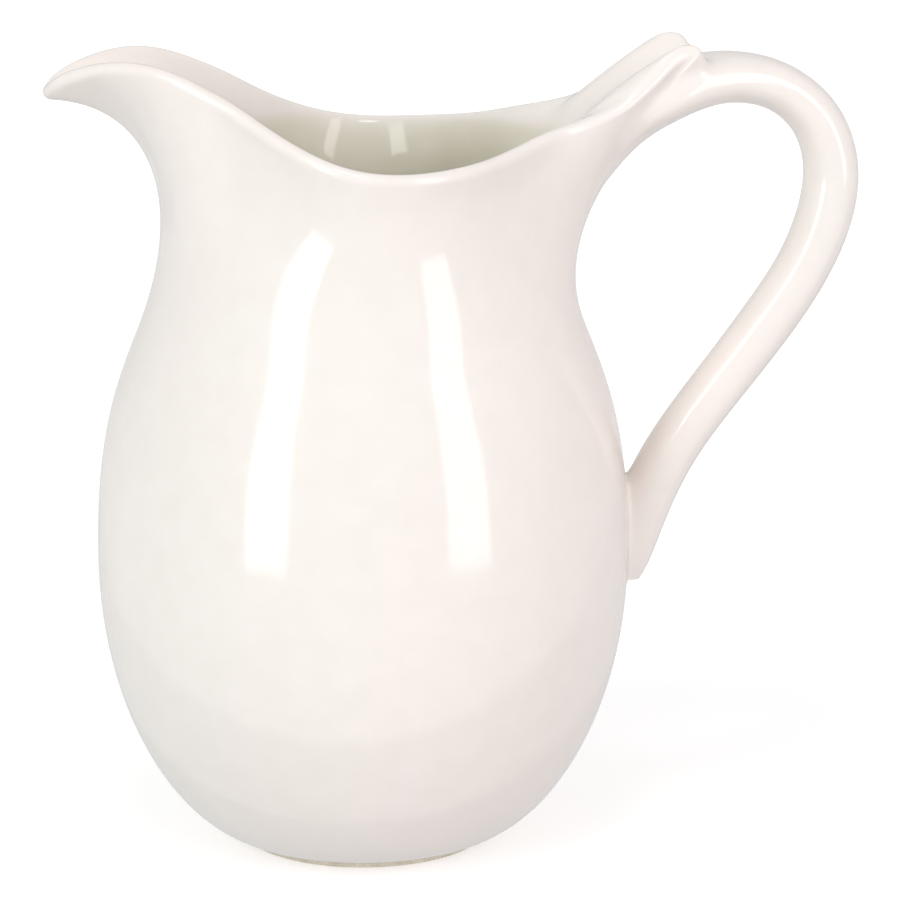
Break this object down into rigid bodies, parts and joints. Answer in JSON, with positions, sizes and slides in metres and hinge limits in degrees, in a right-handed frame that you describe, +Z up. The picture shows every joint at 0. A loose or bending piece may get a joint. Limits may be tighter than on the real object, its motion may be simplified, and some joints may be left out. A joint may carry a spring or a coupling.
{
  "type": "ceramic pitcher",
  "caption": "Glazed ceramic pitcher with an egg-shaped belly, flared mouth, curled pouring spout and looped strap handle, for serving drinks.",
  "frame": {"origin": "centre of the foot ring's flat resting face, on the belly's axis", "axes": "+Z up along the belly's axis, -X towards the spout, +X towards the handle; the XZ plane is the plane of symmetry"},
  "size_m": [0.2295, 0.152, 0.2298],
  "materials": {
    "glaze": "clear gloss glaze over a warm off-white body",
    "bare_foot": "unglazed, fine and matt",
    "slip": "slip under the same clear glaze"
  },
  "bodies": {
    "root": {"body": "glaze", "foot_ring": "bare_foot", "neck_and_rim": "glaze", "pouring_spout": "glaze", "handle": "glaze", "handle_tail": "glaze", "upper_slip_joint": "slip", "lower_slip_joint": "slip"}
  },
  "joints": []
}
